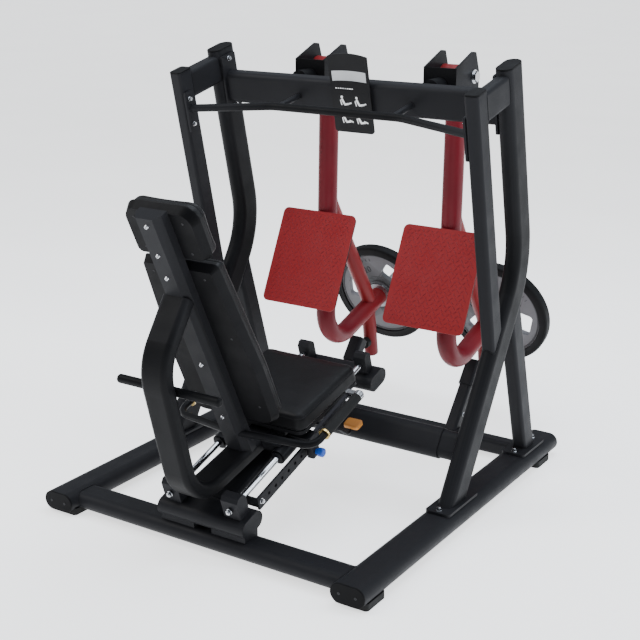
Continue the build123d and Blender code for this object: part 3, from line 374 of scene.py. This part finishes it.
def slim_copy(node, name, flat, inset):
    """A copy of a CAD pad, drawn in by an inset on every side but the one it rests on."""
    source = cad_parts[node]
    mesh = source.data.copy()
    mesh.transform(source.matrix_world)
    spans = []
    for axis in (flat.across, flat.up, flat.out):
        reach = [(v.co - flat.origin).dot(axis) for v in mesh.vertices]
        spans.append((min(reach), max(reach)))
    for v in mesh.vertices:
        local = [(v.co - flat.origin).dot(axis) for axis in (flat.across, flat.up, flat.out)]
        for k, (low, high) in enumerate(spans):
            middle, half = (low + high) / 2, (high - low) / 2
            if k < 2:
                local[k] = middle + (local[k] - middle) * (half - inset) / half
            else:
                local[k] = low + (local[k] - low) * (high - low - inset) / (high - low)
        v.co = flat.at(*local)
    piece = bpy.data.objects.new(name, mesh)
    bpy.context.scene.collection.objects.link(piece)
    return piece, spans


def puff(piece, flat, rest_level, cap):
    """Swell the pad by cloth pressure, its resting side held, the moves capped and then evened out."""
    remesh = piece.modifiers.new("remesh", "REMESH")
    remesh.mode = "VOXEL"
    remesh.voxel_size = VOXEL
    bake(piece)
    before = [v.co.copy() for v in piece.data.vertices]
    held = piece.vertex_groups.new(name="held")
    levels = [(co - flat.origin).dot(flat.out) for co in before]
    held.add([k for k, level in enumerate(levels) if level < rest_level + HELD_DEPTH], 1.0, "REPLACE")
    cloth = piece.modifiers.new("cloth", "CLOTH")
    cloth.settings.use_pressure = True
    cloth.settings.uniform_pressure_force = CLOTH_PRESSURE
    cloth.settings.effector_weights.gravity = 0.0
    cloth.settings.vertex_group_mass = "held"
    cloth.settings.quality = CLOTH_QUALITY
    cloth.point_cache.frame_end = SIM_FRAMES
    for step in range(1, SIM_FRAMES + 1):
        bpy.context.scene.frame_set(step)
    bake(piece)
    bpy.context.scene.frame_set(1)
    moves = np.array([tuple(v.co - start) for v, start in zip(piece.data.vertices, before)])
    lengths = np.linalg.norm(moves, axis=1, keepdims=True)
    moves *= np.minimum(1.0, cap / np.maximum(lengths, TINY))
    edges = np.array([tuple(e.vertices) for e in piece.data.edges])
    ends = np.concatenate((edges, edges[:, ::-1]))
    share = np.bincount(ends[:, 0], minlength=len(moves))[:, None]
    for _ in range(SMOOTHING):
        total = np.zeros_like(moves)
        np.add.at(total, ends[:, 0], moves[ends[:, 1]])
        moves = 0.5 * moves + 0.5 * total / share
    for v, start, move in zip(piece.data.vertices, before, moves):
        v.co = start + Vector(move)


def crown(piece, flat, spans, height, pull):
    """Lift the middle of the front face, and draw the long sides in between the corners."""
    (u0, u1), (v0, v1), (w0, w1) = spans
    for vertex in piece.data.vertices:
        offset = vertex.co - flat.origin
        u = 2 * (offset.dot(flat.across) - u0) / (u1 - u0) - 1
        v = 2 * (offset.dot(flat.up) - v0) / (v1 - v0) - 1
        w = (offset.dot(flat.out) - w0) / (w1 - w0)
        dome = max(0.0, 1 - u ** 4) * max(0.0, 1 - v ** 4)
        vertex.co += flat.out * height * dome * max(0.0, w) ** 2
        vertex.co -= flat.across * pull * u * max(0.0, 1 - v * v) * w
        vertex.co -= flat.up * pull * v * max(0.0, 1 - u * u) * w


def groove(piece, flat, level, depth, width):
    """Press a sewn channel into the side of a pad, at one level above its resting side."""
    mesh = piece.data
    normals = [v.normal.copy() for v in mesh.vertices]
    for vertex, normal in zip(mesh.vertices, normals):
        gap = (vertex.co - flat.origin).dot(flat.out) - level
        if abs(gap) < 4 * width:
            vertex.co -= normal * depth * math.exp(-((gap / width) ** 2))


def section_loop(piece, flat, level):
    """Points of the closed loop where a level plane cuts the piece, in order."""
    bm = bmesh.new()
    bm.from_mesh(piece.data)
    bmesh.ops.bisect_plane(
        bm,
        geom=bm.verts[:] + bm.edges[:] + bm.faces[:],
        plane_co=flat.at(0, 0, level),
        plane_no=flat.out,
        clear_inner=True,
        clear_outer=True,
    )
    loops = chains([(e.verts[0].index, e.verts[1].index) for e in indexed(bm).edges])
    points = {v.index: v.co.copy() for v in bm.verts}
    longest = max(loops, key=len)
    bm.free()
    return [points[k] for k in longest]


def indexed(bm):
    """The same bmesh with its vertices numbered."""
    bm.verts.index_update()
    return bm


def chains(edges):
    """Ordered runs of vertex indices made from loose edges."""
    neighbours = {}
    for a, b in edges:
        neighbours.setdefault(a, []).append(b)
        neighbours.setdefault(b, []).append(a)
    seen = set()
    runs = []
    ends = [k for k in neighbours if len(neighbours[k]) == 1] + list(neighbours)
    for start in ends:
        if start in seen:
            continue
        run = [start]
        seen.add(start)
        while True:
            onward = [k for k in neighbours[run[-1]] if k not in seen]
            if not onward:
                break
            run.append(onward[0])
            seen.add(onward[0])
        runs.append(run)
    return runs


def tube(name, points, radius, material, closed=True, ripple=0.0):
    """A round bead along points, its radius rippled where it is a weld."""
    data = bpy.data.curves.new(name, "CURVE")
    data.dimensions = "3D"
    data.bevel_depth = radius
    data.bevel_resolution = 2
    spline = data.splines.new("POLY")
    spline.points.add(len(points) - 1)
    for k, (target, point) in enumerate(zip(spline.points, points)):
        target.co = (*point, 1)
        target.radius = 1 + ripple * math.sin(k * RIPPLE_TURN)
    spline.use_cyclic_u = closed
    holder = bpy.data.objects.new(name + "_path", data)
    bpy.context.scene.collection.objects.link(holder)
    mesh = evaluated(holder)
    bpy.data.objects.remove(holder)
    mesh.materials.clear()
    mesh.materials.append(bpy.data.materials[material])
    piece = bpy.data.objects.new(name, mesh)
    bpy.context.scene.collection.objects.link(piece)
    for polygon in mesh.polygons:
        polygon.use_smooth = True
    return piece


def spaced(points, gap):
    """Points of a closed loop, evened out to a set spacing."""
    lengths = [0.0]
    ring = points + [points[0]]
    for a, b in zip(ring, ring[1:]):
        lengths.append(lengths[-1] + (b - a).length)
    count = max(8, int(lengths[-1] / gap))
    result = []
    place = 0
    for k in range(count):
        target = lengths[-1] * k / count
        while lengths[place + 1] < target:
            place += 1
        span = max(TINY, lengths[place + 1] - lengths[place])
        result.append(ring[place].lerp(ring[place + 1], (target - lengths[place]) / span))
    return result


def cushion(node, flat, inset, cap, height, pull, seams):
    """A cloth-simulated pad in the place of a CAD pad, with a channel and piping at each seam."""
    piece, spans = slim_copy(node, node + "_cushion", flat, inset)
    rest_level, top = spans[2]
    puff(piece, flat, rest_level, cap)
    crown(piece, flat, spans, height, pull)
    fine = piece.modifiers.new("fine", "SUBSURF")
    fine.levels = fine.render_levels = 1
    bake(piece)
    for share in seams:
        groove(piece, flat, rest_level + share * (top - rest_level), CHANNEL_DEPTH, CHANNEL_WIDTH)
    for polygon in piece.data.polygons:
        polygon.use_smooth = True
    piece.data.materials.clear()
    piece.data.materials.append(bpy.data.materials["black_leather"])
    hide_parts(node)
    declare(piece, "carriage")
    for k, share in enumerate(seams):
        loop = spaced(section_loop(piece, flat, rest_level + share * (top - rest_level)), PIPING_STEP)
        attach(tube(f"{node}_piping_{k}", loop, PIPING_RADIUS, "piping_black"), "carriage")


def pad_flat(node, up):
    """The flat through a pad's middle, its outward side the one that is sat or leant on."""
    low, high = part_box(node)
    middle = [(a + b) / 2 for a, b in zip(low, high)]
    flat = Flat(middle, (1, 0, 0), up)
    if flat.out.y + flat.out.z < 0:
        flat = Flat(middle, (-1, 0, 0), up)
    return flat


for node in ("back_pad", "head_pad"):
    cushion(node, pad_flat(node, back_up), inset=0.004, cap=0.005, height=0.003, pull=0.001, seams=(0.55,))
seat_flat = pad_flat("seat_pad", seat_forward)
cushion("seat_pad", seat_flat, inset=0.005, cap=0.005, height=0.002, pull=0.0015, seams=(0.70,))

# ---------------------------------------------------------------- diamond tread on the foot plates
TREAD_PITCH = 0.0182
ROW_SHARE = 0.86
TREAD_HALF_WIDTH = 0.152
TREAD_HALF_HEIGHT = 0.176
TREAD_CENTRE = (0.2260, 0.7299)
FIGURE_FOOT, FIGURE_TOP, FIGURE_SHRINK = -0.0004, 0.0013, 0.6
LOZENGE = [(-0.0100, 0), (-0.005, -0.0017), (0.005, -0.0017), (0.0100, 0), (0.005, 0.0017), (-0.005, 0.0017)]
TREAD_TILT = math.radians(25.5)
for side_name, side in SIDES.items():
    face = Flat((side * ARM_X, *TREAD_CENTRE), (1, 0, 0), (0, math.sin(TREAD_TILT), math.cos(TREAD_TILT)))

    def lozenges(bm, face=face):
        for row in range(-11, 12):
            for column in range(-9, 10):
                u = column * TREAD_PITCH + (row % 2) * TREAD_PITCH / 2
                v = row * TREAD_PITCH * ROW_SHARE
                if abs(u) > TREAD_HALF_WIDTH or abs(v) > TREAD_HALF_HEIGHT:
                    continue
                angle = math.radians(45 if (row + column) % 2 else -45)
                outline = turned(LOZENGE, angle, u, v)
                raised_outline(bm, face, outline, FIGURE_FOOT, FIGURE_TOP, FIGURE_SHRINK)

    # The lozenges take the darker red: painted shade that shows the tread pattern in place of the shade along
    # their edges.
    pattern = add_mesh(f"{side_name}_tread_pattern", lozenges, "red_figure")
    declare(pattern, f"{side_name}_arm")

# ---------------------------------------------------------------- placard print
PLACARD_TILT = math.radians(13.0)
PLACARD_Y, PLACARD_Z = 0.091, 1.400
PLACARD_HALF = 0.005
placard = Flat(
    (0, PLACARD_Y - PLACARD_HALF * math.cos(PLACARD_TILT), PLACARD_Z - PLACARD_HALF * math.sin(PLACARD_TILT)),
    (1, 0, 0),
    (0, -math.sin(PLACARD_TILT), math.cos(PLACARD_TILT)),
)
PRINT_FOOT, PRINT_HEIGHT = -0.0002, 0.0004
BAND_WIDTH, BAND_HEIGHT, BAND_RISE, BAND_LEVEL = 0.140, 0.036, 0.004, 0.062
MARK_WIDTHS = (0.006, 0.004, 0.007, 0.005, 0.004, 0.006, 0.008, 0.005)
MARK_HEIGHT, MARK_START, MARK_PITCH, MARK_LEVEL = 0.0035, -0.058, 0.0095, 0.018


def arched_bar(width, height, rise, steps=10):
    """A band whose long edges bow upwards by a small rise."""
    low = []
    for k in range(steps + 1):
        share = 2 * k / steps - 1
        low.append((share * width / 2, rise * (1 - share * share) - height / 2))
    return low + [(u, v + height) for u, v in reversed(low)]


def silver_band(bm):
    outline = turned(arched_bar(BAND_WIDTH, BAND_HEIGHT, BAND_RISE), 0, 0, BAND_LEVEL)
    raised_outline(bm, placard, outline, PRINT_FOOT, PRINT_HEIGHT)


def print_line(bm):
    """A generic line of short marks and four plain pictograms of a seated figure."""
    for k, width in enumerate(MARK_WIDTHS):
        outline = turned(bar(width, MARK_HEIGHT), 0, MARK_START + k * MARK_PITCH, MARK_LEVEL)
        raised_outline(bm, placard, outline, PRINT_FOOT, PRINT_HEIGHT)
    for column in (-0.027, 0.034):
        for row, bend in ((-0.032, 0.35), (-0.098, -0.35)):
            parts = (
                (disc(0.0048), 0, -0.012, 0.018),
                (bar(0.008, 0.022), 0.45, -0.008, 0.002),
                (bar(0.020, 0.007), 0.15, 0.005, -0.008),
                (bar(0.017, 0.005), bend, 0.018, -0.005),
                (bar(0.004, 0.020), 0.2, -0.017, -0.003),
            )
            for outline, angle, u, v in parts:
                outline = turned(outline, angle, column + u, row + v)
                raised_outline(bm, placard, outline, PRINT_FOOT, PRINT_HEIGHT)


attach(add_mesh("placard_band", silver_band, "silver_print"), "frame")
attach(add_mesh("placard_print", print_line, "white_print"), "frame")

# ---------------------------------------------------------------- marks on the weight plates
HORN_TILT = math.radians(17.8)
horn_axis = Vector((0, math.cos(HORN_TILT), math.sin(HORN_TILT)))
DISC_BACK = 0.010
DISC_FRONT = 0.034
HORN_REST = (0.7794, 0.4511)
LIP_RADII = (0.079, 0.184)
LIP_WIDTH, LIP_HEIGHT, LIP_FOOT = 0.0035, 0.0014, -0.0005
RELIEF, RELIEF_LIFT = 0.0008, 0.0004
NUMERAL_RADIUS, NUMERAL_SIZE = 0.118, 0.040
STROKE_RADIUS, STROKE_SIZE, STROKE_STEP = 0.162, 0.018, 0.12


def lip(bm, flat, radius, width, height, count=96):
    """A low raised ring round a flat face."""
    rings = []
    half = width * 0.5
    profile = (
        (radius - width, LIP_FOOT),
        (radius - half, height),
        (radius + half, height),
        (radius + width, LIP_FOOT),
    )
    for r, w in profile:
        rings.append([bm.verts.new(flat.at(u, v, w)) for u, v in disc(r, count)])
    for inner, outer in zip(rings, rings[1:]):
        for k in range(count):
            n = (k + 1) % count
            bm.faces.new((inner[k], inner[n], outer[n], outer[k]))


def numeral(name, text, flat, angle, radius, size, body):
    """Raised numerals that stand upright along a radius of the plate."""
    data = bpy.data.curves.new(name, "FONT")
    data.body = text
    data.size = size
    data.extrude = RELIEF
    data.align_x = data.align_y = "CENTER"
    holder = bpy.data.objects.new(name + "_text", data)
    bpy.context.scene.collection.objects.link(holder)
    bpy.context.view_layer.update()
    mesh = evaluated(holder)
    bpy.data.objects.remove(holder)
    spin = Matrix.Rotation(angle - math.pi / 2, 4, "Z")
    u, v = radius * math.cos(angle), radius * math.sin(angle)
    mesh.transform(flat.matrix(u, v, RELIEF_LIFT) @ spin)
    mesh.materials.clear()
    mesh.materials.append(bpy.data.materials["dark_print"])
    piece = bpy.data.objects.new(name, mesh)
    bpy.context.scene.collection.objects.link(piece)
    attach(piece, body)


WINDOW_ANGLES = {"left": 55, "right": 105}
for side_name, side in SIDES.items():
    rest = Vector((side * ARM_X, *HORN_REST))
    up = Vector((0, -math.sin(HORN_TILT), math.cos(HORN_TILT)))
    user_face = Flat(rest + horn_axis * DISC_BACK, (1, 0, 0), up)
    far_face = Flat(rest + horn_axis * DISC_FRONT, (-1, 0, 0), up)

    def rings(bm, faces=(user_face, far_face)):
        for flat in faces:
            for radius in LIP_RADII:
                lip(bm, flat, radius, LIP_WIDTH, LIP_HEIGHT)

    declare(add_mesh(f"{side_name}_disc_lips", rings, "weight_grey"), f"{side_name}_weight")
    for face_name, flat, sign in (("user", user_face, 1), ("far", far_face, -1)):
        for k in range(3):
            centre = math.radians(WINDOW_ANGLES[side_name] + 60 + 120 * k)
            angle = centre if sign > 0 else math.pi - centre
            body = f"{side_name}_weight"
            name = f"{side_name}_{face_name}_numeral_{k}"
            numeral(name, "20", flat, angle, NUMERAL_RADIUS, NUMERAL_SIZE, body)
            for step in (-2, -1, 0, 1, 2):
                name = f"{side_name}_{face_name}_mark_{k}_{step + 2}"
                numeral(name, "I", flat, angle + step * STROKE_STEP, STROKE_RADIUS, STROKE_SIZE, body)

# ---------------------------------------------------------------- small screws
SCREW_RADIUS = 0.0038
SCREW_SIDES = 14
SCREW_PROFILE = ((1.0, -0.0004), (1.0, 0.0006), (0.78, 0.0012), (0.45, 0.0012), (0.40, 0.0002))
CAP_SCREW_RADIUS = 0.0045
CAP_SCREW_HALF = 0.030
RUNNER_X, RUNNER_Z = 0.594, 0.046
RUNNER_FRONT = 1.450 - MIDDLE


def screw_head(bm, flat, u, v, radius):
    """Low dished screw head with a socket, standing on a face."""
    loops = []
    for share, level in SCREW_PROFILE:
        loops.append([bm.verts.new(flat.at(a, b, level)) for a, b in disc(radius * share, SCREW_SIDES, u, v)])
    for outer, inner in zip(loops, loops[1:]):
        for k in range(SCREW_SIDES):
            n = (k + 1) % SCREW_SIDES
            bm.faces.new((outer[k], outer[n], inner[n], inner[k]))
    bm.faces.new(loops[-1])


out_back = Vector((0, math.cos(LEAN), math.sin(LEAN)))
SPINE_LEVEL, BOARD_LEVEL = 0.347, 0.050
board_rear = Flat(Vector((0, -MIDDLE, 0)) + out_back * (SPINE_LEVEL + BOARD_LEVEL), (1, 0, 0), back_up)
BOARD_SCREWS = ((0.092, 1.078), (0.088, 0.968), (0.098, 0.872), (0.118, 0.640), (0.130, 0.350))


def board_screws(bm):
    for u, v in BOARD_SCREWS:
        for sign in (-1, 1):
            screw_head(bm, board_rear, sign * u, v, SCREW_RADIUS)


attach(add_mesh("board_screws", board_screws, "dark_print"), "carriage")


def cap_screws(bm):
    for side in SIDES.values():
        for y, across in ((-MIDDLE, (1, 0, 0)), (RUNNER_FRONT, (-1, 0, 0))):
            flat = Flat((side * RUNNER_X, y, RUNNER_Z), across, (0, 0, 1))
            for u in (-CAP_SCREW_HALF, CAP_SCREW_HALF):
                screw_head(bm, flat, u, 0, CAP_SCREW_RADIUS)


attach(add_mesh("cap_screws", cap_screws, "dark_print"), "frame")


# ---------------------------------------------------------------- weld beads
MERGE_DISTANCE = 0.00002
WELD_REACH = 0.0008
WELD_ANGLE = 0.5
WELD_POINTS = 6
WELD_STEP = 0.0035
WELD_RIPPLE = 0.14
CLOSING_GAP = 0.02


def surface_tree(node):
    """The surface of a CAD node, for finding what lies near it."""
    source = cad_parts[node]
    bm = bmesh.new()
    bm.from_mesh(source.data)
    bm.transform(source.matrix_world)
    found = BVHTree.FromBMesh(bm)
    bm.free()
    return found


def weld(node, onto, body, radius=0.0022, shortest=0.05):
    """Rippled beads along the sharp edges of one node that lie on another node's surface."""
    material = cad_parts[node].data.materials[0].name
    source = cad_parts[node]
    bm = bmesh.new()
    bm.from_mesh(source.data)
    bmesh.ops.remove_doubles(bm, verts=bm.verts[:], dist=MERGE_DISTANCE)
    bm.transform(source.matrix_world)
    trees = [surface_tree(name) for name in onto]
    near = set()
    for v in indexed(bm).verts:
        for tree in trees:
            hit = tree.find_nearest(v.co, WELD_REACH)
            if hit[0] is not None:
                near.add(v.index)
                break
    edges = []
    for e in bm.edges:
        pair = tuple(v.index for v in e.verts)
        if near.issuperset(pair) and len(e.link_faces) == 2 and e.calc_face_angle() > WELD_ANGLE:
            edges.append(pair)
    points = {v.index: v.co.copy() for v in bm.verts}
    bm.free()
    count = 0
    for run in chains(edges):
        line = [points[k] for k in run]
        length = sum((b - a).length for a, b in zip(line, line[1:]))
        if len(line) < WELD_POINTS or length < shortest:
            continue
        closed = (line[0] - line[-1]).length < CLOSING_GAP
        line = spaced(line, WELD_STEP) if closed else line
        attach(tube(f"{node}_weld_{count}", line, radius, material, closed, WELD_RIPPLE), body)
        count += 1


UPRIGHTS = ["left_main_upright", "right_main_upright"]
weld("left_rear_upright", UPRIGHTS, "frame")
weld("right_rear_upright", UPRIGHTS, "frame")
weld("front_legs", UPRIGHTS + ["leg_base_plates"], "frame")
weld("left_main_upright", ["leg_base_plates"], "frame")
weld("right_main_upright", ["leg_base_plates"], "frame")
weld("top_ties", UPRIGHTS + ["left_rear_upright", "right_rear_upright"], "frame")
weld("low_beam", UPRIGHTS, "frame")
weld("front_cross_tube", ["left_runner", "right_runner"], "frame")
weld("rear_cross_tube", ["left_runner", "right_runner"], "frame")
weld("hand_bar", ["top_beam"], "frame", radius=0.0016, shortest=0.02)
for side_name in SIDES:
    weld(f"{side_name}_arm_brace", [f"{side_name}_arm_tube"], f"{side_name}_arm")


# ---------------------------------------------------------------- stage, light, camera
floor_shader = Shader(bpy.data.materials.new("pale_floor")).set(Specular_IOR_Level=0.1)
patches = floor_shader.span(floor_shader.noise(scale=0.9, detail=3), 0, 1)
floor_tone = floor_shader.mix(patches, (0.86, 0.865, 0.87), (0.89, 0.895, 0.90))
floor_shader.colour(floor_tone)
floor_shader.rough(floor_shader.span(floor_shader.noise(scale=3, detail=4), 0.6, 0.72))
floor_shader.bump((floor_shader.noise(scale=180, detail=2), 0.0003, 0.08))
FLOOR_GLOW = 1.6
floor_shader.tree.links.new(floor_tone, floor_shader.surface.inputs["Emission Color"])
floor_shader.set(Emission_Strength=FLOOR_GLOW)
FLOOR_REACH = 70


def floor_sheet(bm):
    bmesh.ops.create_grid(bm, x_segments=4, y_segments=4, size=FLOOR_REACH)


add_mesh("studio_floor", floor_sheet, "pale_floor")

world = bpy.data.worlds.new("studio")
bpy.context.scene.world = world
world.use_nodes = True
background = world.node_tree.nodes["Background"]
SKY_COLOUR = (0.88, 0.93, 1.0, 1)
SKY_STRENGTH = 0.55
background.inputs["Color"].default_value = SKY_COLOUR
background.inputs["Strength"].default_value = SKY_STRENGTH


def area_light(name, place, aim, size, power, colour):
    data = bpy.data.lights.new(name, "AREA")
    data.shape = "RECTANGLE"
    data.size, data.size_y = size
    data.energy = power
    data.color = colour
    lamp = bpy.data.objects.new(name, data)
    lamp.location = place
    lamp.rotation_euler = (Vector(aim) - Vector(place)).to_track_quat("-Z", "Y").to_euler()
    bpy.context.scene.collection.objects.link(lamp)


area_light("key", (-2.6, -2.4, 4.2), (0, 0, 0.7), (2.6, 2.6), 120, (1.0, 0.98, 0.96))
area_light("top", (0.4, 0.6, 4.6), (0, 0, 0.6), (3.4, 3.4), 170, (0.84, 0.91, 1.0))
area_light("rim", (3.8, 1.2, 2.6), (0, 0, 0.8), (1.4, 2.6), 70, (0.85, 0.92, 1.0))

CAMERA_PLACE = (2.3593, -3.7314, 1.9619)
CAMERA_YAW = 33.1
CAMERA_PITCH = 17.34
CAMERA_LENS = 70.79
CAMERA_SENSOR = 36
camera_data = bpy.data.cameras.new("camera")
camera_data.sensor_width = CAMERA_SENSOR
camera_data.lens = CAMERA_LENS
camera = bpy.data.objects.new("camera", camera_data)
camera.location = CAMERA_PLACE
camera.rotation_euler = (math.radians(90 - CAMERA_PITCH), 0, math.radians(CAMERA_YAW))
bpy.context.scene.collection.objects.link(camera)
bpy.context.scene.camera = camera
